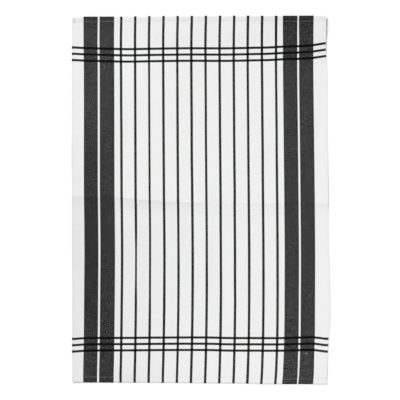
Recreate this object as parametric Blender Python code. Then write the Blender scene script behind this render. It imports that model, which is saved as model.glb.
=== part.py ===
"""A striped cotton tea towel, laid out flat and face up, as one closed solid.

Units are metres. X runs across the towel, Y along it from the bottom hem to the top hem, and Z up from the
table. The origin is the middle of the towel's outline, on the table.

The towel is a single sheet of cloth. Its two ends are turned under twice and stitched, so a strip along each
end is thicker than the rest. The cloth was folded across its middle, and the crease still stands up a little.
It is down on the table over most of its middle and at the four ends of the hems, and its edges lift in between.
"""

from bisect import bisect_right
from collections import namedtuple

import bmesh
import bpy

# --- Driving dimensions --------------------------------------------------------------------------

CLOTH_THICKNESS = 0.0010  # the single cloth, with its nap
HEM_THICKNESS = 0.0022  # the cloth and its two turned-in layers, pressed flat
HEM_DEPTH = 0.0120  # from the folded edge to the inner fold
FOLD_ROUNDING = 0.0006  # how far the folded edge is rounded off, above and below
SETTLE_LENGTH = 0.0280  # inside each hem the cloth comes down to the table over this length
HEM_CURL = 0.0006  # a folded edge stands this much higher than the hem's inner fold
STITCH_INSET = 0.0090  # from the folded edge to the stitching
STITCH_DIP = 0.0004  # the stitching pulls the face of the hem down by this much
STITCH_HALF_WIDTH = 0.0011  # of the trough that it lies in

CORNER_CUT = 0.0011  # how far a corner's point is drawn in, along both edges
CORNER_REACH = 0.0060  # the length of edge that a drawn-in corner takes up

FOOT_INSET = 0.0300  # each hem is down on the table this far from the selvedges, at its inner fold
SIDE_CURL = 0.0004  # a selvedge stands this much higher than the cloth that far in
EDGE_LIFT = 0.0004  # between the four feet the edges stand off the table by this much
EDGE_LIFT_DEPTH = 0.0600  # from the edge to where the cloth is down again
EDGE_LIFT_RISE = 0.1000  # the lift grows to its full height over this length of edge

CREASE_UPPER_SIDE = 0.1500  # the crease falls away over this length above its line
CREASE_LOWER_SIDE = 0.0550  # and over this length below it
CREASE_REACH = 0.2000  # the rows of faces bend to follow the crease within this distance

FINEST = 0.00001  # no two lines of faces are closer than this

YARN_WHITE = (0.80, 0.80, 0.80, 1.0)  # the dark stripes are woven in level, so they are not in the shape
COTTON_ROUGHNESS = 0.9

# --- The outline, as uneven as the towel lies ----------------------------------------------------

Side = namedtuple("Side", "along left right")
SIDES = (
    #    along    left     right
    Side(-0.352, -0.2456, 0.2409),
    Side(-0.325, -0.2456, 0.2418),
    Side(-0.290, -0.2458, 0.2435),
    Side(-0.256, -0.2458, 0.2453),
    Side(-0.225, -0.2458, 0.2473),
    Side(-0.164, -0.2458, 0.2468),
    Side(-0.118, -0.2459, 0.2460),
    Side(-0.076, -0.2460, 0.2447),
    Side(0.019, -0.2460, 0.2437),
    Side(0.096, -0.2470, 0.2428),
    Side(0.153, -0.2464, 0.2422),
    Side(0.248, -0.2464, 0.2420),
    Side(0.271, -0.2461, 0.2404),
    Side(0.294, -0.2460, 0.2393),
    Side(0.353, -0.2460, 0.2393),
)

End = namedtuple("End", "across bottom top")
ENDS = (
    #   across   bottom    top
    End(-0.246, -0.3479, 0.3499),
    End(-0.210, -0.3484, 0.3502),
    End(-0.139, -0.3486, 0.3503),
    End(-0.112, -0.3486, 0.3510),
    End(0.000, -0.3495, 0.3517),
    End(0.087, -0.3503, 0.3519),
    End(0.121, -0.3513, 0.3519),
    End(0.209, -0.3515, 0.3524),
    End(0.243, -0.3526, 0.3527),
)

# --- How the cloth lies --------------------------------------------------------------------------

Crease = namedtuple("Crease", "across along height")
CREASE = (
    #      across   along    height
    Crease(-0.246, 0.0072, 0.0006),
    Crease(-0.170, 0.0054, 0.0011),
    Crease(-0.110, 0.0010, 0.0016),
    Crease(-0.030, -0.0042, 0.0015),
    Crease(0.035, -0.0055, 0.0005),
    Crease(0.130, -0.0062, 0.0011),
    Crease(0.243, -0.0058, 0.0009),
)

Swell = namedtuple("Swell", "across along half_width half_length height")
SWELLS = {
    #                            across  along  half_width half_length height
    "left side": Swell(-0.264, -0.050, 0.052, 0.250, 0.0022),
    "top right side": Swell(0.262, 0.330, 0.052, 0.130, 0.0036),
    "bottom right side": Swell(0.262, -0.185, 0.050, 0.110, 0.0024),
    "bottom left corner": Swell(-0.262, -0.372, 0.046, 0.080, 0.0028),
    "lower left": Swell(-0.200, -0.030, 0.170, 0.230, 0.0022),
    "top right": Swell(0.085, 0.352, 0.120, 0.080, 0.0012),
}

# --- The lines of faces, from one edge of the cloth to the other ---------------------------------

Strip = namedtuple("Strip", "width lines")
PLAIN = None  # the width of a strip that takes up what the others leave
EDGE_STRIP = 0.0060
COLUMNS = (
    Strip(EDGE_STRIP, 1),  # left edge
    Strip(FOOT_INSET - EDGE_STRIP, 2),
    Strip(PLAIN, 28),
    Strip(FOOT_INSET - EDGE_STRIP, 2),
    Strip(EDGE_STRIP, 1),  # right edge
)
HALF_ROWS = (
    Strip(FOLD_ROUNDING, 1),  # a folded edge
    Strip(STITCH_INSET - STITCH_HALF_WIDTH - FOLD_ROUNDING, 2),
    Strip(2 * STITCH_HALF_WIDTH, 2),
    Strip(HEM_DEPTH - STITCH_INSET - STITCH_HALF_WIDTH, 1),
    Strip(0.0003, 1),  # the step under the cloth at the hem's inner fold
    Strip(SETTLE_LENGTH, 3),
    Strip(PLAIN, 11),
    Strip(0.036, 3),
    Strip(0.014, 2),  # beside the crease
)
ROWS = HALF_ROWS + HALF_ROWS[::-1]


def lines_of(strips, total):
    """The distances of the lines from the first edge, where the plain strips share what the others leave."""
    plain_count = sum(strip.width is PLAIN for strip in strips)
    plain_width = (total - sum(strip.width or 0.0 for strip in strips)) / plain_count
    lines = [0.0]
    for strip in strips:
        start = lines[-1]
        width = plain_width if strip.width is PLAIN else strip.width
        lines += [start + width * (step + 1) / strip.lines for step in range(strip.lines)]
    return lines


def smooth(share):
    """From 0 to 1, level at both ends."""
    share = min(max(share, 0.0), 1.0)
    return share * share * (3.0 - 2.0 * share)


def read(table, column, place):
    """A column's value at a place, on a smooth curve through the table's rows."""
    places = [row[0] for row in table]
    values = [getattr(row, column) for row in table]
    last = len(table) - 1
    place = min(max(place, places[0]), places[-1])
    high = min(bisect_right(places, place), last)
    low = high - 1

    def slope(row):
        before, after = max(row - 1, 0), min(row + 1, last)
        return (values[after] - values[before]) / (places[after] - places[before])

    gap = places[high] - places[low]
    share = (place - places[low]) / gap
    bend = share * (1.0 - share) * gap
    start = slope(low) * (1.0 - share)
    end = slope(high) * share
    return values[low] + (values[high] - values[low]) * smooth(share) + bend * (start - end)


def crease_height(x, y):
    """How far the old fold holds the cloth up."""
    above = y - read(CREASE, "along", x)
    side = CREASE_UPPER_SIDE if above > 0.0 else CREASE_LOWER_SIDE
    share = 1.0 - min(abs(above) / side, 1.0)
    return read(CREASE, "height", x) * share**3


def edge_lift(from_edge, from_foot):
    """How far an edge stands off the table, at a distance along it from the foot nearest to its end."""
    depth_share = max(1.0 - from_edge / EDGE_LIFT_DEPTH, 0.0)
    rise_share = min(max(from_foot / EDGE_LIFT_RISE, 0.0), 1.0)
    return EDGE_LIFT * depth_share * rise_share


def lift(x, y, from_side, from_fold):
    """How far the back of the single cloth stands off the table."""
    height = crease_height(x, y)
    height += edge_lift(from_side, from_fold - HEM_DEPTH) + edge_lift(from_fold, from_side - FOOT_INSET)
    height += SIDE_CURL * max(1.0 - from_side / FOOT_INSET, 0.0)
    height += HEM_CURL * max(1.0 - from_fold / HEM_DEPTH, 0.0)
    for swell in SWELLS.values():
        across = smooth(1.0 - abs(x - swell.across) / swell.half_width)
        along = smooth(1.0 - abs(y - swell.along) / swell.half_length)
        height += swell.height * across * along
    return height


def outline_place(across, up):
    """Where a point of the flat cloth lies. across and up are its shares of the width and the length."""
    x = read(SIDES, "left", 0.0) * (1.0 - across) + read(SIDES, "right", 0.0) * across
    y = read(ENDS, "bottom", x) * (1.0 - up) + read(ENDS, "top", x) * up
    y += read(CREASE, "along", x) * smooth(1.0 - abs(y) / CREASE_REACH)
    x = read(SIDES, "left", y) * (1.0 - across) + read(SIDES, "right", y) * across
    return x, y


def face_and_back(x, y, from_side, from_fold):
    """The heights of the two faces of the cloth, at distances from the nearer selvedge and folded edge."""
    in_hem = from_fold < HEM_DEPTH + FINEST
    extra = HEM_THICKNESS - CLOTH_THICKNESS
    settled = min(max((from_fold - HEM_DEPTH) / SETTLE_LENGTH, 0.0), 1.0)
    face = lift(x, y, from_side, from_fold) + CLOTH_THICKNESS + extra * (1.0 - settled) ** 2
    back = face - (HEM_THICKNESS if in_hem else CLOTH_THICKNESS)
    face -= STITCH_DIP * smooth(1.0 - abs(from_fold - STITCH_INSET) / STITCH_HALF_WIDTH)
    if from_fold == 0.0:
        face -= FOLD_ROUNDING
        back += FOLD_ROUNDING
    return face, back


def draw_in_corner(x, y, from_side, from_fold):
    """Draws the point of a corner in towards the cloth's middle."""
    cut = CORNER_CUT * smooth(1.0 - from_side / CORNER_REACH) * smooth(1.0 - from_fold / CORNER_REACH)
    return (x - cut if x > 0.0 else x + cut), (y - cut if y > 0.0 else y + cut)


def shaped(mesh, columns, rows):
    """Lays a slab of the unit grid, one high, out as the towel."""
    width, length = columns[-1], rows[-1]
    for vert in mesh.verts:
        column = round((vert.co.x + 0.5) * (len(columns) - 1))
        row = round((vert.co.y + 0.5) * (len(rows) - 1))
        from_side = min(columns[column], width - columns[column])
        from_fold = min(rows[row], length - rows[row])
        x, y = outline_place(columns[column] / width, rows[row] / length)
        face, back = face_and_back(x, y, from_side, from_fold)
        on_face = vert.co.z > 0.5
        x, y = draw_in_corner(x, y, from_side, from_fold)
        vert.co = (x, y, face if on_face else back)


def centred(mesh):
    """Moves the mesh so that the middle of its outline is at the origin."""
    for axis in (0, 1):
        places = [vert.co[axis] for vert in mesh.verts]
        middle = (min(places) + max(places)) / 2
        for vert in mesh.verts:
            vert.co[axis] -= middle


def towel_cloth():
    """The whole towel: a grid of faces given a thickness, and laid out."""
    width = read(SIDES, "right", 0.0) - read(SIDES, "left", 0.0)
    length = read(ENDS, "top", 0.0) - read(ENDS, "bottom", 0.0)
    columns, rows = lines_of(COLUMNS, width), lines_of(ROWS, length)
    bpy.ops.mesh.primitive_grid_add(x_subdivisions=len(columns) - 1, y_subdivisions=len(rows) - 1, size=1.0)
    towel = bpy.context.object
    towel.name = towel.data.name = "towel_cloth"

    mesh = bmesh.new()
    mesh.from_mesh(towel.data)
    lower = list(mesh.faces)
    extruded = bmesh.ops.extrude_face_region(mesh, geom=lower, use_keep_orig=True)
    raised = [item for item in extruded["geom"] if isinstance(item, bmesh.types.BMVert)]
    bmesh.ops.translate(mesh, verts=raised, vec=(0.0, 0.0, 1.0))
    shaped(mesh, columns, rows)
    centred(mesh)
    bmesh.ops.recalc_face_normals(mesh, faces=mesh.faces)
    mesh.to_mesh(towel.data)
    mesh.free()
    return towel


def cotton():
    material = bpy.data.materials.new("woven cotton")
    material.use_nodes = True
    shader = material.node_tree.nodes["Principled BSDF"]
    shader.inputs["Base Color"].default_value = YARN_WHITE
    shader.inputs["Roughness"].default_value = COTTON_ROUGHNESS
    shader.inputs["Metallic"].default_value = 0.0
    return material


def build():
    for item in list(bpy.data.objects):
        bpy.data.objects.remove(item, do_unlink=True)
    collection = bpy.data.collections.new("Tea towel")
    bpy.context.scene.collection.children.link(collection)
    towel = towel_cloth()
    towel.data.materials.append(cotton())
    for holder in list(towel.users_collection):
        holder.objects.unlink(towel)
    collection.objects.link(towel)


build()
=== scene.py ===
# %% [markdown]
# # A striped cotton tea towel, laid out flat
#
# A tea towel is about the simplest thing that is sewn: one panel of plain woven cotton, with the loom's own
# edges (the selvedges) as its long sides, and its two cut ends turned under twice and stitched. What makes one
# look real is small: the stripes wander a little because the cloth is never quite straight, an old fold still
# stands up across the middle, the hems curl, and the yarns show.
#
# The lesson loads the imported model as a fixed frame, and everything is made in that frame, in metres: X across
# the towel, Y along it, Z up from the table.

import math
from collections import namedtuple

import bpy
import numpy as np
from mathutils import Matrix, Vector


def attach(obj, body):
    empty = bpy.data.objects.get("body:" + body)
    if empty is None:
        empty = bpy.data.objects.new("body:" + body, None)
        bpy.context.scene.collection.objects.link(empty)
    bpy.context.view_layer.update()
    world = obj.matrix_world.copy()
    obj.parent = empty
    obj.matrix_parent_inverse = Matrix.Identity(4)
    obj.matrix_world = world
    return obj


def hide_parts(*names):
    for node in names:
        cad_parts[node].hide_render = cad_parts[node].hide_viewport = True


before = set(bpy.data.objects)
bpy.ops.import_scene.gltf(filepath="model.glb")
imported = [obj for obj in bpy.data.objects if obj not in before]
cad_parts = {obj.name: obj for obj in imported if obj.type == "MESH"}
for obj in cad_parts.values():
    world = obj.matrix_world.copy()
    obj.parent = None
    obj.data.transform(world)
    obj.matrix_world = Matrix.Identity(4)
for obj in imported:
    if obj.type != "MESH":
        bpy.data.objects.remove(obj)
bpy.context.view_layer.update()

MM = 0.001

# %% [markdown]
# ## Camera
#
# The towel is seen from straight above. A long lens, two metres up, keeps its sides parallel. The camera stands
# over the middle of the picture, which is a millimetre or two beside the middle of the towel.

# %% Camera
CAMERA_PLACE = (-1.6 * MM, 0.0, 2.0)
LENS = 94.2  # mm, as the sensor's width is
SENSOR_WIDTH = 36.0

camera_data = bpy.data.cameras.new("camera")
camera_data.lens = LENS
camera_data.sensor_width = SENSOR_WIDTH
camera = bpy.data.objects.new("camera", camera_data)
camera.location = CAMERA_PLACE
bpy.context.scene.collection.objects.link(camera)
bpy.context.scene.camera = camera
bpy.context.scene.view_settings.view_transform = "Standard"
print("camera over", CAMERA_PLACE)

# %% [markdown]
# ## Table and light
#
# A flat white thing on a white table shows its shape only by soft shading. So there is one large soft light, half
# way up the sky beyond the top hem and to the left, which darkens what slopes away from it, and a plain sky that
# fills the rest, palest at the horizon. The table is far larger than the towel, so it reaches that horizon in low
# views.

# %% Table and light
TABLE_SIZE = 16.0
TABLE_TONE = 0.95
HORIZON_TONE = 0.98
HORIZON_TOP = 0.05  # the sine of the elevation up to which the sky is as pale as the horizon
SKY_TONE = 0.26
SKY_BOTTOM = 0.45  # and from which it has its own tone
KEY_STRENGTH = 3.35
KEY_ELEVATION = math.radians(45.0)
KEY_TURN = math.radians(38.0)  # from straight beyond the top hem, towards the left
KEY_WIDTH = math.radians(30.0)  # how large the light looks from the table
KEY_DISTANCE = 3.0  # of the lamp in the viewport, since a sun lights the same from anywhere


def select(*items):
    """Selects these and nothing else, with the first one active."""
    for item in bpy.context.selected_objects:
        item.select_set(False)
    for item in items:
        item.select_set(True)
    bpy.context.view_layer.objects.active = items[0] if items else None


def make_table():
    select()
    bpy.ops.mesh.primitive_plane_add(size=TABLE_SIZE, location=(0.0, 0.0, 0.0))
    table = bpy.context.object
    table.name = "table_top"
    material = bpy.data.materials.new("pale table")
    material.use_nodes = True
    inputs = material.node_tree.nodes["Principled BSDF"].inputs
    inputs["Base Color"].default_value = (TABLE_TONE, TABLE_TONE, TABLE_TONE, 1.0)
    inputs["Roughness"].default_value = 1.0
    inputs["Specular IOR Level"].default_value = 0.0
    table.data.materials.append(material)


def make_sky():
    world = bpy.data.worlds.new("plain studio")
    world.use_nodes = True
    bpy.context.scene.world = world
    nodes, links = world.node_tree.nodes, world.node_tree.links
    place = nodes.new("ShaderNodeTexCoord")
    split = nodes.new("ShaderNodeSeparateXYZ")
    ramp = nodes.new("ShaderNodeValToRGB")
    for number, place_up, tone in ((0, HORIZON_TOP, HORIZON_TONE), (1, SKY_BOTTOM, SKY_TONE)):
        ramp.color_ramp.elements[number].position = place_up
        ramp.color_ramp.elements[number].color = (tone, tone, tone, 1.0)
    links.new(place.outputs["Generated"], split.inputs[0])
    links.new(split.outputs["Z"], ramp.inputs["Fac"])
    links.new(ramp.outputs["Color"], nodes["Background"].inputs["Color"])


def make_key():
    light = bpy.data.lights.new("key", "SUN")
    light.energy = KEY_STRENGTH
    light.angle = KEY_WIDTH
    key = bpy.data.objects.new("key", light)
    flat = math.cos(KEY_ELEVATION)
    towards = Vector((-flat * math.sin(KEY_TURN), flat * math.cos(KEY_TURN), math.sin(KEY_ELEVATION)))
    key.rotation_euler = towards.to_track_quat("Z", "Y").to_euler()
    key.location = towards * KEY_DISTANCE
    bpy.context.scene.collection.objects.link(key)


make_table()
make_sky()
make_key()
print("key light", round(math.degrees(KEY_ELEVATION)), "degrees up")

# %% [markdown]
# ## Smooth curves through a few measured rows
#
# Nothing about a used towel is quite straight, so its outline, its old fold and the bow of its yarns are given as
# short tables, each row a place and what is measured there, in metres. A curve through the rows gives any place in
# between. NumPy reads the whole grid of points at once, so the cloth is made in a second or two.

# %% Tables and curves
def measured(columns, rows, defaults=()):
    """Rows of numbers whose columns have names. The rows may have names too, which only say what they are."""
    Row = namedtuple("Row", columns, defaults=defaults)
    return [Row(*row) for row in (rows.values() if isinstance(rows, dict) else rows)]


def smooth(share):
    """From 0 to 1, level at both ends."""
    share = np.clip(share, 0.0, 1.0)
    return share * share * (3.0 - 2.0 * share)


def curve(table, column, place):
    """A column of a table, read at any places on a smooth curve through its rows."""
    places = np.array([row[0] for row in table])
    values = np.array([getattr(row, column) for row in table])
    last = len(table) - 1
    before = np.maximum(np.arange(last + 1) - 1, 0)
    after = np.minimum(np.arange(last + 1) + 1, last)
    slopes = (values[after] - values[before]) / (places[after] - places[before])
    place = np.clip(place, places[0], places[-1])
    high = np.clip(np.searchsorted(places, place, side="right"), 1, last)
    low = high - 1
    gap = places[high] - places[low]
    share = (place - places[low]) / gap
    bend = share * (1.0 - share) * gap * (slopes[low] * (1.0 - share) - slopes[high] * share)
    return values[low] + (values[high] - values[low]) * smooth(share) + bend


# %% [markdown]
# ## The outline
#
# The two selvedges and the two folded ends, as the towel lies. The left selvedge is nearly straight. The right one
# bellies out below the middle and draws in towards the top.

# %% Outline
SIDES = measured("along left right", (
    (-0.352, -0.2456, 0.2409),
    (-0.325, -0.2456, 0.2418),
    (-0.290, -0.2458, 0.2435),
    (-0.256, -0.2458, 0.2453),
    (-0.225, -0.2458, 0.2473),
    (-0.164, -0.2458, 0.2468),
    (-0.118, -0.2459, 0.2460),
    (-0.076, -0.2460, 0.2447),
    (0.019, -0.2460, 0.2437),
    (0.096, -0.2470, 0.2428),
    (0.153, -0.2464, 0.2422),
    (0.248, -0.2464, 0.2420),
    (0.271, -0.2461, 0.2404),
    (0.294, -0.2460, 0.2393),
    (0.353, -0.2460, 0.2393),
))

ENDS = measured("across bottom top", (
    (-0.246, -0.3479, 0.3499),
    (-0.210, -0.3484, 0.3502),
    (-0.139, -0.3486, 0.3503),
    (-0.112, -0.3486, 0.3510),
    (0.000, -0.3495, 0.3517),
    (0.087, -0.3503, 0.3519),
    (0.121, -0.3513, 0.3517),
    (0.209, -0.3515, 0.3517),
    (0.243, -0.3526, 0.3519),
))
OUTLINE_MIDDLE = (0.2 * MM, 0.1 * MM)  # of the box round that outline, which comes to the origin
CORNER_ROUNDING = np.array((  # across and along, of the left and the right corner
    ((3.2, 3.2), (3.2, 3.2)),  # at the bottom
    ((4.8, 9.5), (1.5, 1.5)),  # at the top
)) * MM
CREASE_REACH = 0.2  # the rows of faces bend to follow the old fold, less and less up to this distance

WIDTH = float(curve(SIDES, "right", 0.0) - curve(SIDES, "left", 0.0))
LENGTH = float(curve(ENDS, "top", 0.0) - curve(ENDS, "bottom", 0.0))
print("towel as it lies", round(WIDTH, 4), "by", round(LENGTH, 4))

# %% [markdown]
# ## How the cloth lies
#
# The table holds the cloth up, so every height here is a rise above it. The old fold across the middle is a soft
# ridge: long and gentle above its line, short and steeper below it, and stronger in some places than in others.
# Swells are long low lifts where the cloth was not smoothed down. Ticks are short sharp dents.

# %% Heights
CREASE = measured("across along height edge", (
    (-0.246, 0.0072, 0.0010, 0.00010),
    (-0.170, 0.0054, 0.0013, 0.00012),
    (-0.110, 0.0010, 0.0019, 0.00013),
    (-0.030, -0.0042, 0.0018, 0.00010),
    (0.035, -0.0055, 0.0006, 0.00004),
    (0.130, -0.0062, 0.0012, 0.00012),
    (0.243, -0.0058, 0.0012, 0.00016),
))
CREASE_UPPER_SIDE = 0.15  # how far the ridge reaches above its line
CREASE_LOWER_SIDE = 0.027
CREASE_UPPER_POWER = 1.2  # 1 is a straight slope, and more is a hollow one
CREASE_LOWER_POWER = 2.0
CREASE_EDGE = 0.004  # half the width of the fold's own sharp line

SWELLS = measured("across along half_width half_length height", {
    "left side": (-0.264, -0.050, 0.052, 0.250, 0.0022),
    "top right side": (0.262, 0.352, 0.100, 0.095, 0.0045),
    "bottom right side": (0.262, -0.185, 0.050, 0.110, 0.0005),
    "bottom left corner": (-0.262, -0.372, 0.046, 0.080, 0.0028),
    "lower left": (-0.200, -0.030, 0.170, 0.230, 0.0022),
    "top right": (0.120, 0.352, 0.150, 0.080, 0.0016),
})

TICKS = measured("start end half_width depth", {
    "top left corner": ((-0.2430, 0.3464), (-0.2389, 0.3394), 0.0013, 0.00060),
    "top left dimple": ((-0.2328, 0.3405), (-0.2308, 0.3405), 0.0016, 0.00035),
    "bottom middle": ((-0.0110, -0.3440), (0.0020, -0.3435), 0.0026, 0.00030),
})

FOOT_INSET = 0.03  # each hem is down on the table this far from the selvedges, at its inner fold
LEFT_CURL = 0.00035  # how far each selvedge stands up
RIGHT_CURL = 0.00004
SIDE_CURL_DEPTH = 0.006
TOP_HEM_CURL = 0.001  # how much higher a folded edge stands than its hem's inner fold
BOTTOM_HEM_CURL = 0.00005
EDGE_LIFT = 0.00005  # how far the edges stand off the table between the four feet
EDGE_LIFT_DEPTH = 0.06
EDGE_LIFT_RISE = 0.1  # the lift grows to its full height over this length of edge


def crease_height(x, y):
    """How far the old fold holds the cloth up."""
    above = y - curve(CREASE, "along", x)
    side = np.where(above > 0.0, CREASE_UPPER_SIDE, CREASE_LOWER_SIDE)
    power = np.where(above > 0.0, CREASE_UPPER_POWER, CREASE_LOWER_POWER)
    share = 1.0 - np.minimum(np.abs(above) / side, 1.0)
    edge = curve(CREASE, "edge", x) * smooth(1.0 - np.abs(above) / CREASE_EDGE)
    return curve(CREASE, "height", x) * share**power + edge


def swell_height(x, y):
    """How far the swells hold the cloth up."""
    height = np.zeros_like(x)
    for swell in SWELLS:
        across = smooth(1.0 - np.abs(x - swell.across) / swell.half_width)
        along = smooth(1.0 - np.abs(y - swell.along) / swell.half_length)
        height += swell.height * across * along
    return height


def edge_lift(from_edge, from_foot):
    """How far an edge stands off the table, at a distance along it from the foot nearest to its end."""
    depth_share = np.maximum(1.0 - from_edge / EDGE_LIFT_DEPTH, 0.0)
    return EDGE_LIFT * depth_share * np.clip(from_foot / EDGE_LIFT_RISE, 0.0, 1.0)


def lift(x, y, from_side, from_fold, at_top):
    """How far the underside of the towel stands off the table."""
    height = crease_height(x, y) + swell_height(x, y)
    height += edge_lift(from_side, from_fold - HEM_DEPTH) + edge_lift(from_fold, from_side - FOOT_INSET)
    side_curl = np.where(x < 0.0, LEFT_CURL, RIGHT_CURL)
    height += side_curl * np.maximum(1.0 - from_side / SIDE_CURL_DEPTH, 0.0) ** 2
    hem_curl = np.where(at_top, TOP_HEM_CURL, BOTTOM_HEM_CURL)
    height += hem_curl * np.maximum(1.0 - from_fold / HEM_DEPTH, 0.0)
    return height


# %% [markdown]
# ## The hem, as a strip of cloth is really turned
#
# A hem could be a raised strip, but from low down its edge would look like card. So the cloth really goes round:
# from the face it turns under at the folded edge, runs back 12 mm on the table, turns up at the inner fold, and
# ends as a raw edge tucked between the two. Walking along that path gives every row of the grid: how far in from
# the folded edge it lies, and how high.

# %% The path round a hem
CLOTH_THICKNESS = 0.38 * MM
LAYER_RISE = 0.43 * MM  # from the middle of one layer to the middle of the next
HEM_DEPTH = 12.0 * MM
FOLD_RADIUS = LAYER_RISE / 2
TUCK_END = 2.5 * MM  # the raw edge lies this far in from the folded edge
STITCH_HALF_WIDTH = 1.1 * MM  # of the furrow that the stitching draws
STITCH_DIP = 0.1 * MM
SETTLE = 80.0 * MM  # past the hem, the face comes down to the table within this distance
OUTER_STEPS = 6  # faces round the folded edge
INNER_STEPS = 4  # and round the inner fold
TUCK_ROWS = 6
UNDER_LINES = (11.2, 10.7, 10.2, 9.7, 9.2, 8.7, 8.2, 6.0, 3.5)  # mm from the folded edge, on the underside

STITCH_INSETS = measured("across bottom top", (
    (-0.246, 0.0106, 0.0093),
    (-0.080, 0.0101, 0.0096),
    (0.090, 0.0095, 0.0101),
    (0.243, 0.0092, 0.0104),
))

Station = namedtuple("Station", "inward level length")


def turn(centre, radius, middle_level, start, end, steps):
    """Points on a half circle, each a distance inward and a level."""
    angles = [start + (end - start) * step / steps for step in range(steps + 1)]
    return [(centre + radius * math.cos(angle), middle_level + radius * math.sin(angle)) for angle in angles]


def hem_path():
    """Stations from the raw edge to the start of the face, just past the folded edge."""
    quarter = math.pi / 2
    middle = [(inward, LAYER_RISE) for inward in np.linspace(TUCK_END, HEM_DEPTH - LAYER_RISE, TUCK_ROWS)]
    inner = turn(HEM_DEPTH - FOLD_RADIUS, FOLD_RADIUS, FOLD_RADIUS, quarter, -quarter, INNER_STEPS)
    under = [(inward * MM, 0.0) for inward in UNDER_LINES]
    outer = turn(FOLD_RADIUS, FOLD_RADIUS, FOLD_RADIUS, -quarter, -3 * quarter, OUTER_STEPS)
    points = middle + inner + under + outer
    stations, length = [], 0.0
    for number, (inward, level) in enumerate(points):
        if number:
            length += math.dist(points[number - 1], (inward, level))
        stations.append(Station(inward, level, length))
    return stations


HEM = hem_path()
FLAT_LENGTH = LENGTH + 2 * (HEM[-1].length - FOLD_RADIUS)  # of the cloth as it was cut, hems let out
print("hem path", len(HEM), "stations,", round(HEM[-1].length * 1000, 1), "mm of cloth")

# %% [markdown]
# ## The rows and columns of the grid
#
# Faces are small where the cloth turns sharply, at the hems, the selvedges and the old fold, and about 3.8 mm
# elsewhere, fine enough for the soft swells.

# %% Rows and columns
CELL = 3.8 * MM
SELVEDGE_LINES = [  # mm from a selvedge
    0.0, 0.25, 0.7, 1.3, 1.9, 2.5, 3.1, 3.7, 4.3, 4.9, 5.5, 6.1, 6.8, 7.6, 8.8, 10.5, 13.0]
FACE_LINES = [  # mm from a folded edge
    0.6, 1.1, 1.7, 2.5, 3.3, 4.2, 5.1, 6.0, 6.8, 7.6, 8.2, 8.7, 9.2, 9.7, 10.2, 10.7, 11.2, 12.0, 13.0, 14.5,
    17.0, 20.0, 23.5, 27.0, 30.5]
CREASE_LINES = [0.9, 1.8, 2.8, 4.0, 5.5, 7.5, 10.0]  # mm from the old fold, on each side


def spread(start, end):
    """Evenly spaced lines between two that are there already."""
    count = round((end - start) / CELL)
    return [start + (end - start) * step / count for step in range(1, count)]


def column_lines():
    near = [line * MM for line in SELVEDGE_LINES]
    return np.array(near + spread(near[-1], WIDTH - near[-1]) + [WIDTH - line for line in reversed(near)])


def face_lines():
    near = [FOLD_RADIUS] + [line * MM for line in FACE_LINES]
    side = [line * MM for line in CREASE_LINES]
    middle = LENGTH / 2
    fold = [middle - line for line in reversed(side)] + [middle] + [middle + line for line in side]
    lines = near + spread(near[-1], fold[0]) + fold + spread(fold[-1], LENGTH - near[-1])
    return np.array(lines + [LENGTH - line for line in reversed(near)])


COLUMNS = column_lines()
FACE = face_lines()
print(len(COLUMNS), "columns,", len(FACE), "rows on the face")

# %% [markdown]
# ## Laying the cloth out
#
# First where a point lies, seen from above; then how high. The corners are rounded by the rule that turns a square
# into a disc, which moves only the last few millimetres.

# %% Places
def outline_place(across, up):
    """Where a point of the flat cloth lies. across and up are its shares of the width and the length."""
    x = curve(SIDES, "left", 0.0) * (1.0 - across) + curve(SIDES, "right", 0.0) * across
    y = curve(ENDS, "bottom", x) * (1.0 - up) + curve(ENDS, "top", x) * up
    y = y + curve(CREASE, "along", x) * smooth(1.0 - np.abs(y) / CREASE_REACH)
    x = curve(SIDES, "left", y) * (1.0 - across) + curve(SIDES, "right", y) * across
    return x, y


def round_corner(x, y, from_side, from_fold):
    """Places near a corner, drawn in as its rounding asks."""
    wide, long = np.moveaxis(CORNER_ROUNDING[(y > 0.0).astype(int), (x > 0.0).astype(int)], -1, 0)
    side = np.clip(1.0 - from_side / wide, 0.0, 1.0)
    fold = np.clip(1.0 - from_fold / long, 0.0, 1.0)
    in_x = wide * side * (1.0 - np.sqrt(1.0 - fold * fold / 2))
    in_y = long * fold * (1.0 - np.sqrt(1.0 - side * side / 2))
    return x - np.sign(x) * in_x, y - np.sign(y) * in_y


def face_level(from_fold):
    """How high the face lies on what is turned under: one layer at the fold, two over the hem, then none."""
    over_tuck = smooth((from_fold - FOLD_RADIUS) / (TUCK_END - FOLD_RADIUS))
    past_hem = smooth((from_fold - HEM_DEPTH) / SETTLE)
    return LAYER_RISE * (1.0 + over_tuck) * (1.0 - past_hem)


def stitch_inset(x, at_top):
    """How far the stitching runs from the folded edge."""
    return np.where(at_top, curve(STITCH_INSETS, "top", x), curve(STITCH_INSETS, "bottom", x))


def seam_dip(x, from_fold, at_top):
    """How deep the stitching draws the layers together."""
    from_stitch = np.abs(from_fold - stitch_inset(x, at_top))
    return STITCH_DIP * smooth(1.0 - from_stitch / STITCH_HALF_WIDTH)


def tick_depth(x, y):
    """How deep the face is pressed in by the sharp ticks."""
    depth = np.zeros_like(x)
    for tick in TICKS:
        start, end = np.array(tick.start), np.array(tick.end)
        run = end - start
        share = np.clip(((x - start[0]) * run[0] + (y - start[1]) * run[1]) / (run @ run), 0.0, 1.0)
        away = np.hypot(x - start[0] - share * run[0], y - start[1] - share * run[1])
        depth += tick.depth * np.maximum(1.0 - away / tick.half_width, 0.0)
    return depth


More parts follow.
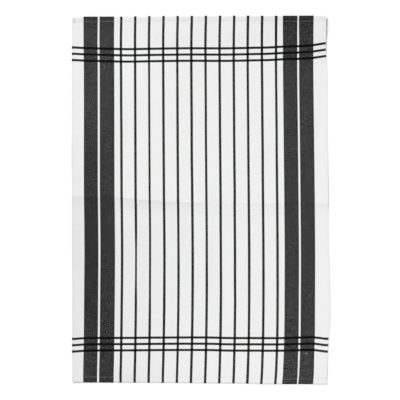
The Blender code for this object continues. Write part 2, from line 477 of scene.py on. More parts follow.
def lay(across, up, level=None):
    """Points on the middle of the cloth, as it lies. level is the layer's height, None on the face."""
    from_side = np.minimum(across, WIDTH - across)
    from_fold = np.minimum(up, LENGTH - up)
    at_top = up > LENGTH / 2
    x, y = outline_place(across / WIDTH, up / LENGTH)
    level = face_level(from_fold) if level is None else level
    level = level + seam_dip(x, from_fold, at_top) * (1.0 - level / LAYER_RISE)
    level = level - tick_depth(x, y) * level / (2 * LAYER_RISE)
    z = lift(x, y, from_side, from_fold, at_top) + CLOTH_THICKNESS / 2 + level
    x, y = round_corner(x, y, from_side, from_fold)
    return x - OUTLINE_MIDDLE[0], y - OUTLINE_MIDDLE[1], z


# %% [markdown]
# ## Bow and skew of the yarns
#
# The stripes are woven straight and lie bent. The warp, which runs along the towel, bows by two millimetres or so,
# and the weft rises at the right selvedge. Gathers are where the whole length of a stripe lies a hair to one side.
# Subtracting all that from each place gives the place on the loom, and that becomes the UV map: one unit is a
# metre of cloth, so every stripe and yarn is given in real sizes.

# %% Bow and skew
BOW = measured("along left middle right", (
    (-0.350, -0.0015, -0.0025, -0.0029),
    (-0.332, -0.0016, -0.0020, -0.0015),
    (-0.301, -0.0010, -0.0011, -0.0009),
    (-0.255, -0.0004, -0.0001, 0.0004),
    (-0.181, 0.0002, 0.0008, 0.0008),
    (-0.095, 0.0009, 0.0009, 0.0010),
    (0.020, 0.0000, 0.0000, 0.0000),
    (0.134, -0.0003, -0.0009, -0.0012),
    (0.239, -0.0004, -0.0016, -0.0024),
    (0.306, -0.0009, -0.0016, -0.0025),
    (0.348, -0.0007, -0.0007, -0.0019),
))
BOW_ACROSS = (-0.223, -0.018, 0.215)  # where its three columns were measured
BOW_BEYOND = 0.1  # and how far past the outer two, as a share of the gap, the bow still grows

SKEW = measured("across bottom top", (
    (-0.240, -0.0025, 0.0014),
    (-0.228, -0.0015, 0.0007),
    (-0.216, -0.0009, 0.0003),
    (-0.187, -0.0006, -0.0006),
    (-0.139, -0.0005, -0.0016),
    (-0.086, 0.0000, -0.0007),
    (-0.020, 0.0003, 0.0001),
    (0.020, 0.0001, -0.0001),
    (0.050, -0.0008, -0.0001),
    (0.106, -0.0009, 0.0010),
    (0.132, -0.0011, 0.0016),
    (0.165, -0.0008, 0.0034),
    (0.195, 0.0002, 0.0041),
    (0.211, 0.0005, 0.0053),
    (0.222, -0.0003, 0.0068),
    (0.237, -0.0023, 0.0090),
))
SKEW_ALONG = (-0.275, 0.278)  # where its two columns were measured

GATHERS = measured("across shift", (
    (-0.2460, 0.0000), (-0.2227, -0.0001), (-0.1966, -0.0009), (-0.1921, -0.0005),
    (-0.1647, -0.0001), (-0.1511, 0.0001), (-0.1240, -0.0002), (-0.0970, -0.0004),
    (-0.0700, -0.0002), (-0.0160, -0.0002), (0.0380, -0.0001), (0.0650, 0.0001),
    (0.0920, -0.0001), (0.1190, 0.0001), (0.1730, 0.0002), (0.2175, 0.0000),
))


# %% [markdown]
# ## Where a stripe is wider, or wanders
#
# The same few dark yarns make every narrow stripe, but they lie closer together in some places than in others, and
# a stripe strays sideways by half a millimetre here and there. The wide bands spread a little at their ends. The
# stripes are counted from the left.

# %% Uneven stripes
STRIPE_FADE = 6.0 * MM  # past its half width, a row fades out over this distance
STRIPE_FADE_ALONG = 60.0 * MM  # and past its half length over this one
NARROW = 7.5 * MM  # the half width of a row for a narrow stripe

# wider is how far each edge moves out, and shift how far both move to the right, in mm
UNEVEN = measured("across along half_length wider shift half_width", (
    (-0.152, 0.235, 0.05, 0.0, -0.37),  # the first stripe
    (-0.152, -0.3, 0.08, 0.0, -0.22),
    (-0.124, -0.124, 0.02, -0.59, -0.18),  # the second
    (-0.097, 0.035, 0.205, -0.36, 0.0),  # the third
    (-0.097, -0.13, 0.02, 0.0, -0.2),
    (-0.07, -0.199, 0.0, 0.14, 0.08),  # the fourth
    (-0.043, 0.231, 0.0, -0.14, 0.12),  # the fifth
    (-0.043, 0.0, 0.1, 0.0, -0.14),
    (-0.043, -0.075, 0.01, -0.2, 0.0),
    (-0.043, -0.27, 0.1, -0.12, 0.0),
    (-0.016, 0.0, 0.36, 0.07, 0.0),  # the sixth
    (-0.016, 0.088, 0.01, 0.0, -0.28),
    (-0.016, -0.155, 0.01, 0.08, 0.0),
    (0.011, 0.07, 0.165, -0.15, 0.0),  # the seventh
    (0.011, 0.21, 0.03, 0.0, 0.28),
    (0.011, -0.115, 0.0, 0.0, -0.2),
    (0.038, 0.22, 0.03, 0.0, 0.15),  # the eighth
    (0.038, -0.085, 0.03, 0.0, -0.36),
    (0.038, -0.235, 0.0, 0.16, 0.0),
    (0.065, 0.09, 0.03, 0.0, -0.22),  # the ninth
    (0.065, -0.085, 0.055, 0.0, -0.52),
    (0.092, 0.345, 0.0, 0.16, -0.35),  # the tenth
    (0.092, 0.15, 0.1, -0.07, 0.0),
    (0.092, -0.02, 0.11, 0.0, -0.2),
    (0.092, -0.11, 0.02, 0.12, 0.0),
    (0.092, -0.345, 0.0, 0.22, -0.3),
    (0.119, 0.345, 0.0, 0.12, -0.38),  # the eleventh
    (0.119, 0.22, 0.0, 0.0, 0.25),
    (0.119, -0.035, 0.07, 0.0, -0.26),
    (0.119, -0.35, 0.0, 0.0, -0.6),
    (0.146, 0.35, 0.0, 0.18, -0.6),  # the twelfth
    (0.146, 0.16, 0.06, -0.12, 0.0),
    (0.146, -0.02, 0.1, 0.0, -0.32),
    (0.146, -0.35, 0.0, 0.0, -0.85),
    (0.188, 0.35, 0.0, 0.35, -0.8, 0.029),  # the right bands
    (0.188, -0.35, 0.0, 0.45, -0.65, 0.029),
    (-0.211, 0.345, 0.0, 0.35, 0.2, 0.012),  # the left band
), defaults=(NARROW,))


def unevenness(x, y, column):
    """How much wider at each edge, or further to the right, a stripe lies at places on the cloth."""
    total = np.zeros_like(x)
    for part in UNEVEN:
        across = smooth(1.0 + (part.half_width - np.abs(x - part.across)) / STRIPE_FADE)
        along = smooth(1.0 + (part.half_length - np.abs(y - part.along)) / STRIPE_FADE_ALONG)
        total += getattr(part, column) * MM * across * along
    return total


def loom_place(x, y):
    """Where on the loom, before it bowed, the cloth at a place was woven."""
    left, middle, right = (curve(BOW, column, y) for column in ("left", "middle", "right"))
    share = np.clip((x - BOW_ACROSS[0]) / (BOW_ACROSS[1] - BOW_ACROSS[0]), -BOW_BEYOND, 1.0)
    far_share = np.clip((x - BOW_ACROSS[1]) / (BOW_ACROSS[2] - BOW_ACROSS[1]), 0.0, 1.0 + BOW_BEYOND)
    bow = left + (middle - left) * share + (right - middle) * far_share
    up = (y - SKEW_ALONG[0]) / (SKEW_ALONG[1] - SKEW_ALONG[0])
    skew = curve(SKEW, "bottom", x) * (1.0 - up) + curve(SKEW, "top", x) * up
    u = x - bow
    return u - curve(GATHERS, "shift", u) - unevenness(x, y, "shift"), y - skew


# %% [markdown]
# ## Painted shade and light
#
# What the swells and the light leave out of the cloth's soft shading is painted into its colour. Below the old
# fold the left side is painted a little greyer, and its dark stripes darker, with less white weft peeping out.
# The same goes for the left edge and for the top right corner. Patches add the smaller places: a grey of less
# than nothing is painted light, and a band shade of less than nothing lets more weft peep, so the stripe is
# lighter.

# %% Uneven tone
FOLD_FADE = 0.005  # how sharply the tone changes at the old fold

# Broad areas of painted shade, on the white and on the dark stripes.
# A broad area grows from nothing at a start, over a fade: to the right or upwards, or if negative the other way.
BROAD = measured("grey packed start fade start_along fade_along", {
    "left, below the fold": (0.034, 0.17, 0.020, -0.160, None, None),
    "left edge": (0.025, 0.30, -0.160, -0.050, 0.160, -0.100),
    "top right corner": (0.015, 0.38, 0.060, 0.090, 0.240, 0.040),
})
# Patches of painted shade, and of painted light where their grey or band shade is less than nothing.
PATCHES = measured("across along half_width half_length grey packed", (
    (-0.245, 0.09, 0.026, 0.12, 0.022, 0.0),
    (-0.245, -0.265, 0.026, 0.075, 0.03, 0.0),
    (-0.187, 0.275, 0.03, 0.07, 0.0, -0.35),
    (-0.212, 0.19, 0.05, 0.08, 0.0, -0.25),
    (-0.222, -0.315, 0.048, 0.11, 0.0, -0.45),
    (0.203, -0.33, 0.06, 0.08, 0.0, -0.2),
    (0.226, -0.3415, 0.022, 0.0045, 0.038, 0.0),
    (-0.14, -0.352, 0.06, 0.04, 0.055, 0.0),
    (-0.038, -0.075, 0.02, 0.09, 0.022, 0.0),
    (0.018, -0.115, 0.022, 0.095, 0.026, 0.0),
    (0.15, 0.356, 0.16, 0.032, 0.052, 0.45),
    (-0.222, 0.35, 0.06, 0.014, 0.028, 0.45),
    (0.005, 0.35, 0.03, 0.065, 0.02, 0.0),
    (-0.125, -0.037, 0.085, 0.024, -0.026, 0.0),
    (-0.13, 0.27, 0.09, 0.13, -0.022, 0.0),
    (0.228, 0.01, 0.032, 0.28, -0.01, 0.0),
))

# %% [markdown]
# ## Making the cloth
#
# A grid is added with one line of faces for each row and column, and its points are moved to where the cloth lies.
# Solidify then gives it its thickness, thinner at the very edge, so that the selvedges are rounded. A second map
# lays every part of the cloth flat, side by side, the face largest, so that its finish can be baked.

# %% The cloth
def shades(x, y):
    """The painted shade on the white, and on the dark stripes, at places on the cloth."""
    below_fold = smooth((curve(CREASE, "along", x) - y) / FOLD_FADE + 0.5)
    white_shade, packed = np.zeros_like(x), np.zeros_like(x)
    for area in BROAD:
        across = smooth((x - area.start) / area.fade)
        along = below_fold if area.start_along is None else smooth((y - area.start_along) / area.fade_along)
        white_shade += area.grey * across * along
        packed += area.packed * across * along
    for patch in PATCHES:
        across = smooth(1.0 - np.abs(x - patch.across) / patch.half_width)
        along = smooth(1.0 - np.abs(y - patch.along) / patch.half_length)
        white_shade += patch.grey * across * along
        packed += patch.packed * across * along
    return white_shade, packed


EDGE_THICKNESS = (0.5, 0.88)  # shares of the thickness, on the outermost two lines of each selvedge
SMOOTH_ANGLE = math.radians(50.0)

MAP_SIZE = 1024.0  # pixels, of a baked map
CUT_EDGE_WIDTH = 3.0 * MM  # how wide a raw edge is drawn on it
ISLANDS = {  # left and bottom in pixels, and pixels to a metre of cloth
    "face": (7, 7, 1434),
    "back": (7, 718, 570),
    "bottom end, front": (416, 718, 1200),
    "top end, front": (416, 753, 1200),
    "bottom end, back": (416, 790, 600),
    "top end, back": (416, 811, 600),
    "left edge": (7, 1003, 1344),
    "right edge": (7, 1012, 1344),
    "bottom edge": (416, 834, 1200),
    "top edge": (416, 842, 1200),
}


def numbers_of(items, name, width=1, kind=float):
    """One property of every item, as an array."""
    values = np.empty(len(items) * width, dtype=kind)
    items.foreach_get(name, values)
    return values.reshape(-1, width) if width > 1 else values


def all_rows():
    """Every row from one raw edge to the other, as four arrays.

    They are its place along the towel, its layer's height (none on the face), how far past the folded edge it is
    turned under, and its place along the cloth as it was cut.
    """
    start = HEM[-1].length
    low = [(row.inward, row.level, start - row.length, row.length) for row in HEM[:-1]]
    face = [(up, np.nan, 0.0, start + up - FOLD_RADIUS) for up in FACE]
    high = [(LENGTH - up, level, beyond, FLAT_LENGTH - cut) for up, level, beyond, cut in reversed(low)]
    return np.array(low + face + high).T


def make_cloth():
    """The middle of the cloth as a grid, with the column and the row that each point stands in."""
    row_up, row_level, row_beyond, _ = all_rows()
    select()
    bpy.ops.mesh.primitive_grid_add(x_subdivisions=len(COLUMNS) - 1, y_subdivisions=len(row_up) - 1, size=1.0)
    cloth = bpy.context.object
    cloth.name = cloth.data.name = "woven_cloth"
    mesh = cloth.data
    shares = numbers_of(mesh.vertices, "co", 3) + 0.5
    column = np.rint(shares[:, 0] * (len(COLUMNS) - 1)).astype(int)
    row = np.rint(shares[:, 1] * (len(row_up) - 1)).astype(int)

    across, up, level, beyond = COLUMNS[column], row_up[row], row_level[row], row_beyond[row]
    on_face = np.isnan(level)
    face_x, face_y, face_z = lay(across, up)
    under_z = lay(across, up, level)[2]
    points = np.stack([face_x, face_y, np.where(on_face, face_z, under_z)], axis=1)
    mesh.vertices.foreach_set("co", points.ravel())

    fold_up = np.where(up < LENGTH / 2, FOLD_RADIUS, LENGTH - FOLD_RADIUS)
    fold_x, fold_y, _ = lay(across, np.where(on_face, up, fold_up))
    u, v = loom_place(fold_x, fold_y)
    v = v - np.where(up < LENGTH / 2, beyond, -beyond)

    loop_vertex = numbers_of(mesh.loops, "vertex_index", kind=int)
    loom_map = mesh.uv_layers[0]
    loom_map.name = "loom"
    loom_map.data.foreach_set("uv", np.stack([u, v], axis=1)[loop_vertex].ravel())

    white_shade, packed = shades(fold_x, fold_y)
    for name, values in (
        ("from_selvedge", np.minimum(across, WIDTH - across)),
        ("white_shade", white_shade),
        ("packed", packed),
        ("wider", unevenness(fold_x, fold_y, "wider")),
    ):
        mesh.attributes.new(name, "FLOAT", "POINT").data.foreach_set("value", values)

    edge = cloth.vertex_groups.new(name="edge thickness")
    line = np.minimum(np.minimum(column, len(COLUMNS) - 1 - column), len(EDGE_THICKNESS))
    for number, share in enumerate(EDGE_THICKNESS + (1.0,)):
        edge.add(np.flatnonzero(line == number).tolist(), share, "REPLACE")
    mesh.update()
    return cloth, column, row


def thicken(cloth):
    solidify = cloth.modifiers.new("thickness", "SOLIDIFY")
    solidify.thickness = CLOTH_THICKNESS
    solidify.offset = 0.0
    solidify.vertex_group = "edge thickness"
    select(cloth)
    bpy.ops.object.modifier_apply(modifier=solidify.name)
    cloth.vertex_groups.clear()
    bpy.ops.object.shade_smooth_by_angle(angle=SMOOTH_ANGLE)


def make_bake_map(mesh, column, row):
    """Lays the face, the back, the turned ends and the edges side by side, for maps baked from the finish."""
    cut = all_rows()[3]
    corners = numbers_of(mesh.loops, "vertex_index", kind=int).reshape(-1, 4)
    behind = corners >= len(column)
    column, row = column[corners % len(column)], row[corners % len(row)]
    across, along = COLUMNS[column], cut[row]
    last_column, last_row = len(COLUMNS) - 1, len(cut) - 1
    turned = len(HEM) - 1 - OUTER_STEPS
    front, back = ~behind.any(axis=1), behind.all(axis=1)
    first_row = row.min(axis=1)
    low, high = first_row < turned, first_row >= last_row - turned
    places = np.zeros((len(corners), 4, 2))

    def put(name, chosen, along_u, along_v):
        left, bottom, density = ISLANDS[name]
        places[chosen, :, 0] = (left + along_u[chosen] * density) / MAP_SIZE
        places[chosen, :, 1] = (bottom + along_v[chosen] * density) / MAP_SIZE

    middle = ~(low | high)
    from_low_turn, from_high_turn = along - cut[turned], along - cut[last_row - turned]
    put("face", front & middle, from_low_turn, WIDTH - across)
    put("back", back & middle, from_low_turn, across)
    put("bottom end, front", front & low, across, along)
    put("top end, front", front & high, across, from_high_turn)
    put("bottom end, back", back & low, WIDTH - across, along)
    put("top end, back", back & high, WIDTH - across, from_high_turn)
    edge, edge_width = ~(front | back), behind * CUT_EDGE_WIDTH
    for name, line, end, run in (
        ("left edge", column, 0, along), ("right edge", column, last_column, along),
        ("bottom edge", row, 0, across), ("top edge", row, last_row, across),
    ):
        put(name, edge & (line == end).all(axis=1), run, edge_width)
    mesh.uv_layers.new(name="OFBake").data.foreach_set("uv", places.ravel())


cloth, grid_column, grid_row = make_cloth()
thicken(cloth)
make_bake_map(cloth.data, grid_column, grid_row)
lowest = min(vertex.co.z for vertex in cloth.data.vertices)
print("cloth cut", round(WIDTH, 4), "by", round(FLAT_LENGTH, 4), "lowest", round(lowest * 1000, 3), "mm")
print("faces", len(cloth.data.polygons))

# %% [markdown]
# ## A small helper for materials
#
# A weave is arithmetic: which yarn, how far across it, over or under. That is easier to read as a sum than as a
# drawing of nodes, so one small class wraps an output and turns +, -, *, / and abs into Math nodes.

# %% Material helper
class Output:
    """One output of a node, which sums in Python can use."""

    def __init__(self, finish, socket):
        self.finish, self.socket = finish, socket

    def __add__(self, other):
        return self.finish.math("ADD", self, other)

    def __sub__(self, other):
        return self.finish.math("SUBTRACT", self, other)

    def __rsub__(self, other):
        return self.finish.math("SUBTRACT", other, self)

    def __mul__(self, other):
        return self.finish.math("MULTIPLY", self, other)

    def __truediv__(self, other):
        return self.finish.math("DIVIDE", self, other)

    def __abs__(self):
        return self.finish.math("ABSOLUTE", self)

    __radd__ = __add__
    __rmul__ = __mul__


class Finish:
    """A material being made."""

    def __init__(self, name):
        self.material = bpy.data.materials.new(name)
        self.material.use_nodes = True
        self.nodes = self.material.node_tree.nodes
        self.links = self.material.node_tree.links
        self.shader = self.nodes["Principled BSDF"]

    def put(self, node, name, value):
        """Sets an input, which is given by its name or as i and its number, or links it."""
        socket = node.inputs[int(name[1:]) if name[1:].isdigit() else name.replace("_", " ")]
        if isinstance(value, Output):
            self.links.new(value.socket, socket)
        else:
            socket.default_value = value

    def node(self, kind, settings, *values, output=0, **inputs):
        made = self.nodes.new(kind)
        for name, value in settings.items():
            setattr(made, name, value)
        for number, value in enumerate(values):
            self.put(made, "i%d" % number, value)
        for name, value in inputs.items():
            self.put(made, name, value)
        return Output(self, made.outputs[output])

    def math(self, operation, *values, clamp=False):
        return self.node("ShaderNodeMath", {"operation": operation, "use_clamp": clamp}, *values)

    def vector(self, operation, *values, output=0):
        return self.node("ShaderNodeVectorMath", {"operation": operation}, *values, output=output)

    def fraction(self, value):
        return self.math("FRACT", value)

    def whole(self, value):
        return self.math("FLOOR", value)

    def wave(self, value):
        """The height of a row of round yarns, 0 between them and 1 on top."""
        return abs(self.math("SINE", value * math.pi))

    def inside(self, distance, half_width, softness):
        """1 within a distance of a line, falling to 0 over the softness."""
        return self.math("MULTIPLY_ADD", half_width - distance, 1.0 / softness, 0.5, clamp=True)

    def noise(self, x, y, z, detail):
        place = self.node("ShaderNodeCombineXYZ", {}, x, y, z)
        return self.node("ShaderNodeTexNoise", {"noise_dimensions": "3D"}, Vector=place, Scale=1.0, Detail=detail)

    def attribute(self, name):
        return self.node("ShaderNodeAttribute", {"attribute_name": name}, output=2)

    def object_place(self):
        return self.node("ShaderNodeTexCoord", {}, output=3)

    def split(self, place):
        """The X and the Y of a place."""
        x = self.node("ShaderNodeSeparateXYZ", {}, place)
        return x, Output(self, x.socket.node.outputs[1])

    def cover(self, tone, relief, **values):
        """Gives the surface a grey, a relief in metres and plain values, and returns the material."""
        colour = self.node("ShaderNodeCombineColor", {}, tone, tone, tone)
        normal = self.node("ShaderNodeBump", {}, Height=relief, Distance=1.0, Strength=1.0)
        for name, value in dict(values, Base_Color=colour, Normal=normal).items():
            self.put(self.shader, name, value)
        return self.material


# %% [markdown]
# ## The woven cotton
#
# The stripes are the same from both sides, so the distance from the middle yarn says whether a warp yarn is dark.
# Three dark lines of weft cross each end, a little thicker where they turn round at the selvedges. In a dark
# stripe the warp is so dense that the white weft only peeps out between its yarns, dimly, since it lies in their
# shade, and in a dark line the weft covers the warp. So where a stripe and a line cross the cloth is darkest.
#
# Slubs make each yarn thick here and thin there, and finer streaks roughen the surface. Small grey spots are
# painted shade in the dents and stitch holes at the top corners, two more are dark flecks in the yarn, and in one
# place a thick white weft yarn floats over a band.

# %% Woven cotton
WARP_PITCH = 0.62 * MM
PICK_PITCH = 0.66 * MM
DESIGN_MIDDLE = (-2.6 * MM - OUTLINE_MIDDLE[0], 1.6 * MM - OUTLINE_MIDDLE[1])
PIN_PITCH = 27.0 * MM  # of the narrow stripes
PIN_HALF = 2.37 * MM
PINS_END = 162.0 * MM  # from the middle yarn, and so are the bands
BAND_MIDDLES = (175.5 * MM, 206.5 * MM)
BAND_HALF = 13.77 * MM
LINE_MIDDLE = 276.35 * MM  # from the middle pick to the middle line of three
LINE_PITCH = 11.93 * MM
LINE_HALF = 2.22 * MM
LINE_END = 2.5 * MM  # this far from a selvedge a line is thicker
LINE_END_FADE = 1.5 * MM
LINE_END_WIDER = 0.4 * MM
LINE_STOP = 1.1 * MM  # this far from the right selvedge it goes partly under the white edge yarns
LINE_STOP_FADE = 1.0 * MM
LINE_STOP_SHARE = 0.6
YARN_EDGE = 0.25 * MM

SLUB_RATE = 24.0  # how often a yarn turns thick and thin, a metre
NEXT_YARN = 3.7  # between the slubs of two yarns, so that they differ
STREAKS_ALONG = 150.0  # how often streaks change along them, a metre
STREAKS_ACROSS = 400.0  # and across them
PEEP_LEVEL = 0.462  # a crossing that stands higher than this peeps out between the yarns over it
PEEP_SLUBS = 0.14  # slubs, streaks, painted band shade and the closer packing in a narrow stripe or a line raise the level
PEEP_STREAKS = 0.45
PEEP_STREAKS_SHADED = 0.40
PEEP_BAND_SHADE = 0.22
PEEP_NARROW = 0.124
PEEP_SHARPNESS = 8.0
# Painted shade: a peeping weft shows only this share of its white, in the shade of the dark yarns.
PEEP_LIGHT = 0.35
YARN_SHOULDER = 0.55  # how high a yarn is where it dives under the next, as a share of its crest

# Painted shade: the first six lie in the dent and the dimple at the top left corner, the last two at the stitch
# ends at the top right. The seventh and eighth are dark flecks in the yarn.
SPOTS_AND_DENT_SHADE = measured("across along radius grey", (
    (-0.2425, 0.3447, 0.0013, 0.17),
    (-0.2412, 0.3422, 0.0014, 0.16),
    (-0.2396, 0.3396, 0.0016, 0.30),
    (-0.2430, 0.3379, 0.0016, 0.09),
    (-0.2319, 0.3403, 0.0015, 0.17),
    (-0.2275, 0.3410, 0.0012, 0.10),
    (0.0769, 0.2523, 0.0011, 0.24),
    (-0.2288, 0.2180, 0.0009, 0.20),
    (0.2357, 0.3462, 0.0010, 0.16),
    (0.2307, 0.3443, 0.0016, 0.09),
))
SPOT_RAGGED = 2.5 * MM
FLOAT_PLACE = (201.6 * MM, -292.7 * MM, 0.0)
FLOAT_HALF = (2.4 * MM, 0.4 * MM)
FLOAT_FADE = 0.8  # as a share of its half size
FLOAT_LIGHT = 0.25
# Painted light: how much lighter the floating yarn is on its crest.
FLOAT_CREST_LIGHT = 0.45
# Painted shade in a strip along each selvedge.
SELVEDGE_WIDTH = 4.0 * MM
SELVEDGE_FADE = 2.0 * MM
SELVEDGE_SHADE = 0.015
WHITE_YARN = 0.843
# Painted light on the crests of the weave and painted shade in its furrows, on the dark yarn and on every yarn.
DARK_YARN = 0.001  # in the furrows of the weave
DARK_CREST_LIGHT = 0.004  # and how much lighter on its crests
FURROW_SHADE = 0.94  # what a furrow leaves of a yarn's tone, and what a crest, a slub and a streak add
CREST_SHADE = 0.05
SLUB_SHADE = 0.05
STREAK_SHADE = 0.035
YARN_RELIEF = 0.05 * MM


def stripes_on(finish, u):
    """1 where the warp yarn is dark, in the narrow stripes and in the bands."""
    wider = finish.attribute("wider")
    from_middle = abs(u - DESIGN_MIDDLE[0])
    from_pin = abs(finish.fraction(from_middle / PIN_PITCH) - 0.5) * PIN_PITCH
    among_pins = finish.math("LESS_THAN", from_middle, PINS_END)
    pins = finish.inside(from_pin, PIN_HALF + wider, YARN_EDGE) * among_pins
    bands = [finish.inside(abs(from_middle - middle), BAND_HALF + wider, YARN_EDGE) for middle in BAND_MIDDLES]
    return pins, finish.math("ADD", bands[0], bands[1], clamp=True)


def lines_on(finish, u, v, from_selvedge):
    """1 where the weft yarn is dark."""
    half = LINE_HALF + finish.inside(from_selvedge, LINE_END, LINE_END_FADE) * LINE_END_WIDER
    from_middle_line = abs(abs(v - DESIGN_MIDDLE[1]) - LINE_MIDDLE)
    middle = finish.inside(from_middle_line, half, YARN_EDGE)
    outer = finish.inside(abs(from_middle_line - LINE_PITCH), half, YARN_EDGE)
    at_right = finish.math("GREATER_THAN", u, 0.0)
    stop = finish.inside(from_selvedge, LINE_STOP, LINE_STOP_FADE) * at_right * LINE_STOP_SHARE
    return finish.math("ADD", middle, outer, clamp=True) * (1.0 - stop)


def floating_yarn(finish, place, height):
    """How white one thick weft yarn shows that floats over a dark band."""
    beside = finish.vector("SUBTRACT", place, FLOAT_PLACE)
    beside = finish.vector("MULTIPLY", beside, (1.0 / FLOAT_HALF[0], 1.0 / FLOAT_HALF[1], 0.0))
    beside = finish.vector("LENGTH", beside, output=1)
    return finish.inside(beside, 1.0, FLOAT_FADE) * (FLOAT_LIGHT + height * FLOAT_CREST_LIGHT)


def spots_and_dent_shade_on(finish, place, streaks):
    """How grey the spots make the cloth: painted shade at the top corners, and two dark flecks in the yarn."""
    flat_place = finish.vector("MULTIPLY", place, (1.0, 1.0, 0.0))
    spots_and_shade = 0.0
    for spot in SPOTS_AND_DENT_SHADE:
        away = finish.vector("DISTANCE", flat_place, (spot.across, spot.along, 0.0), output=1)
        spots_and_shade = finish.inside(away + streaks * SPOT_RAGGED, spot.radius, spot.radius) * spot.grey + spots_and_shade
    return spots_and_shade


def woven_cotton():
    finish = Finish("woven cotton")
    u, v = finish.split(finish.node("ShaderNodeUVMap", {"uv_map": "loom"}))
    place = finish.object_place()
    from_selvedge, white_shade, packed = (finish.attribute(name) for name in ("from_selvedge", "white_shade", "packed"))

    warp, weft = u / WARP_PITCH, v / PICK_PITCH
    warp_top, weft_top = finish.wave(warp), finish.wave(weft)
    over = finish.fraction((finish.whole(warp) + finish.whole(weft)) * 0.5) * 2.0  # 1 where the weft is on top
    warp_height = warp_top * (YARN_SHOULDER + weft_top * (1.0 - YARN_SHOULDER))
    weft_height = weft_top * (YARN_SHOULDER + warp_top * (1.0 - YARN_SHOULDER))
    height = warp_height * (1.0 - over) + weft_height * over

    # The third number keeps these four patterns apart, and the last is their detail.
    warp_slub = finish.noise(finish.whole(warp) * NEXT_YARN, v * SLUB_RATE, 0.0, 2.0)
    weft_slub = finish.noise(u * SLUB_RATE, finish.whole(weft) * NEXT_YARN, 7.0, 2.0)
    slubs = warp_slub + weft_slub
    warp_streaks = finish.noise(u * STREAKS_ACROSS, v * STREAKS_ALONG, 3.0, 1.0)
    weft_streaks = finish.noise(u * STREAKS_ALONG, v * STREAKS_ACROSS, 5.0, 1.0)
    streaks = warp_streaks - weft_streaks

    pins, bands = stripes_on(finish, u)
    stripes = finish.math("MAXIMUM", pins, bands)
    lines = lines_on(finish, u, v, from_selvedge)
    # Where the painted band shade is greater, less weft peeps out and the dark stripes are darker.
    uneven = slubs * PEEP_SLUBS + streaks * (PEEP_STREAKS - packed * PEEP_STREAKS_SHADED)
    peep_level = PEEP_LEVEL + uneven + (pins + lines) * PEEP_NARROW + packed * PEEP_BAND_SHADE
    crossing = warp_top * weft_top * over
    peeps = finish.math("MULTIPLY_ADD", crossing - peep_level, PEEP_SHARPNESS, 0.5, clamp=True) * PEEP_LIGHT
    dark_warp = stripes * (1.0 - peeps * (1.0 - lines))
    dark_weft = lines * (1.0 - peeps * (1.0 - stripes))
    floating = floating_yarn(finish, place, height)
    dark = (1.0 - (1.0 - dark_warp) * (1.0 - dark_weft)) * (1.0 - floating)

    # Painted shade greys the white: that of the areas and patches, a strip along each selvedge, and the spots at
    # the top corners.
    at_selvedge = finish.inside(from_selvedge, SELVEDGE_WIDTH, SELVEDGE_FADE)
    spots_and_shade = spots_and_dent_shade_on(finish, place, streaks)
    white = WHITE_YARN * (1.0 - white_shade - at_selvedge * SELVEDGE_SHADE - spots_and_shade)
    # Painted light on the crests of the weave and painted shade in its furrows.
    black = DARK_YARN + height * DARK_CREST_LIGHT
    shade = FURROW_SHADE + height * CREST_SHADE + (slubs - 1.0) * SLUB_SHADE + streaks * STREAK_SHADE
    tone = (white + dark * (black - white)) * shade
    relief = height * YARN_RELIEF + slubs * YARN_RELIEF
    return finish.cover(
        tone, relief, Roughness=0.85, Specular_IOR_Level=0.05, Sheen_Weight=0.015, Sheen_Roughness=0.6)


cloth.data.materials.append(woven_cotton())
print("woven cotton:", len(cloth.data.materials[0].node_tree.nodes), "nodes")

# %% [markdown]
# ## The stitching
#
# Each hem is held by one row of lockstitch. On the face a stitch is a short length of thread that comes up out of
# the cloth, lies on it and goes down again, and the underside shows the same. One stitch is modelled, repeated
# into a row with an Array modifier, and the row is then laid on the hem.

# %% One stitch, and the rows
STITCH_PITCH = 3.0 * MM
THREAD_RADIUS = 0.1 * MM
STITCH_LENGTH = 2.1 * MM
STITCH_SIDES = 6
STITCH_RINGS = 6
STITCH_BEND = 4  # the power by which a stitch is flat along its middle and bends down at its ends
ROW_MARGIN = 2.0 * MM  # a row is at least this much shorter than the hem
STITCH_RISE = 0.035 * MM  # how far the middle of the thread stands above the cloth, half way along a stitch
STITCH_DIVE = 0.2 * MM  # and how far its ends go down into the cloth
UNDER_SINK = 0.04 * MM  # the underside is pressed flat, so the thread lies deeper in it
SLACK = 0.16 * MM  # how far the loosest stitch stands up more than the tightest one
SLACK_SPREAD = 0.55  # and how much flatter and wider its thread lies
SLACK_POWER = 6  # the power by which only few stitches are loose
SLACK_SEED = 11
TWIST_PITCH = 0.25 * MM
TWIST_SLANT = 0.8
TWIST_RELIEF = 0.02 * MM
THREAD_TONE = 0.56
# Painted light on the crests of the twist, and painted shade in its grooves.
THREAD_CREST_LIGHT = 0.16


def flat_row():
    """A straight row of stitches along X, with the cloth's surface at Z = 0."""
    select()
    bpy.ops.mesh.primitive_cylinder_add(
        vertices=STITCH_SIDES, radius=THREAD_RADIUS, depth=STITCH_LENGTH, rotation=(0.0, math.pi / 2, 0.0))
    row = bpy.context.object
    bpy.ops.object.transform_apply(location=False, rotation=True, scale=False)
    bpy.ops.object.mode_set(mode="EDIT")
    for ring in range(1, STITCH_RINGS):
        place = (ring / STITCH_RINGS - 0.5) * STITCH_LENGTH
        bpy.ops.mesh.select_all(action="SELECT")
        bpy.ops.mesh.bisect(plane_co=(place, 0.0, 0.0), plane_no=(1.0, 0.0, 0.0))
    bpy.ops.object.mode_set(mode="OBJECT")
    for vertex in row.data.vertices:
        along = vertex.co.x / (STITCH_LENGTH / 2)
        vertex.co.z += STITCH_RISE - (STITCH_RISE + STITCH_DIVE) * along**STITCH_BEND
    array = row.modifiers.new("row", "ARRAY")
    array.use_relative_offset = False
    array.use_constant_offset = True
    array.constant_offset_displace = (STITCH_PITCH, 0.0, 0.0)
    array.count = int((WIDTH - ROW_MARGIN) / STITCH_PITCH)
    bpy.ops.object.modifier_apply(modifier=array.name)
    return row, array.count


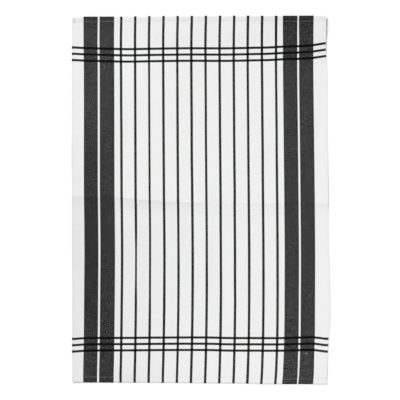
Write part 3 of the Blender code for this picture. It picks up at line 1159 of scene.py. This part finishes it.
def sew(row, count, at_top, under):
    """Lays a copy of the flat row on a hem's face or underside, and returns the copy."""
    copy = row.copy()
    copy.data = row.data.copy()
    bpy.context.scene.collection.objects.link(copy)
    places = numbers_of(copy.data.vertices, "co", 3)
    number = np.rint(places[:, 0] / STITCH_PITCH).astype(int)
    slack = np.random.default_rng(SLACK_SEED + at_top).random(count)[number] ** SLACK_POWER * (not under)
    across = WIDTH / 2 - (count - 1) * STITCH_PITCH / 2 + places[:, 0]
    row_x = across + curve(SIDES, "left", 0.0)
    inward = stitch_inset(row_x, at_top) + places[:, 1] * (1.0 + SLACK_SPREAD * slack)
    up = LENGTH - inward if at_top else inward
    level = np.zeros_like(across) if under else None
    x, y, z = lay(across, up, level)
    out = CLOTH_THICKNESS / 2 + places[:, 2] + SLACK * slack - UNDER_SINK * under
    z = z - out if under else z + out
    copy.data.vertices.foreach_set("co", np.stack([x, y, z], axis=1).ravel())
    copy.data.update()
    return copy


def make_stitching():
    row, count = flat_row()
    copies = [sew(row, count, at_top, under) for at_top in (False, True) for under in (False, True)]
    bpy.data.objects.remove(row)
    select(*copies)
    bpy.ops.object.join()
    stitching = bpy.context.object
    stitching.name = stitching.data.name = "hem_stitching"
    bpy.ops.object.mode_set(mode="EDIT")
    bpy.ops.mesh.select_all(action="SELECT")
    bpy.ops.mesh.normals_make_consistent(inside=False)
    bpy.ops.object.mode_set(mode="OBJECT")
    bpy.ops.object.shade_smooth()
    return stitching


def twisted_thread():
    finish = Finish("sewing thread")
    x, y = finish.split(finish.object_place())
    twist = finish.wave((x + y * TWIST_SLANT) / TWIST_PITCH)
    return finish.cover(THREAD_TONE + twist * THREAD_CREST_LIGHT, twist * TWIST_RELIEF, Roughness=0.6)


stitching = make_stitching()
stitching.data.materials.clear()
stitching.data.materials.append(twisted_thread())
print("stitching:", len(stitching.data.polygons), "faces")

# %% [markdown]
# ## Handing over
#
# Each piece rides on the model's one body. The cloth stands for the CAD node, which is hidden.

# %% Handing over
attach(cloth, "root")
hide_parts("towel_cloth")
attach(stitching, "root")
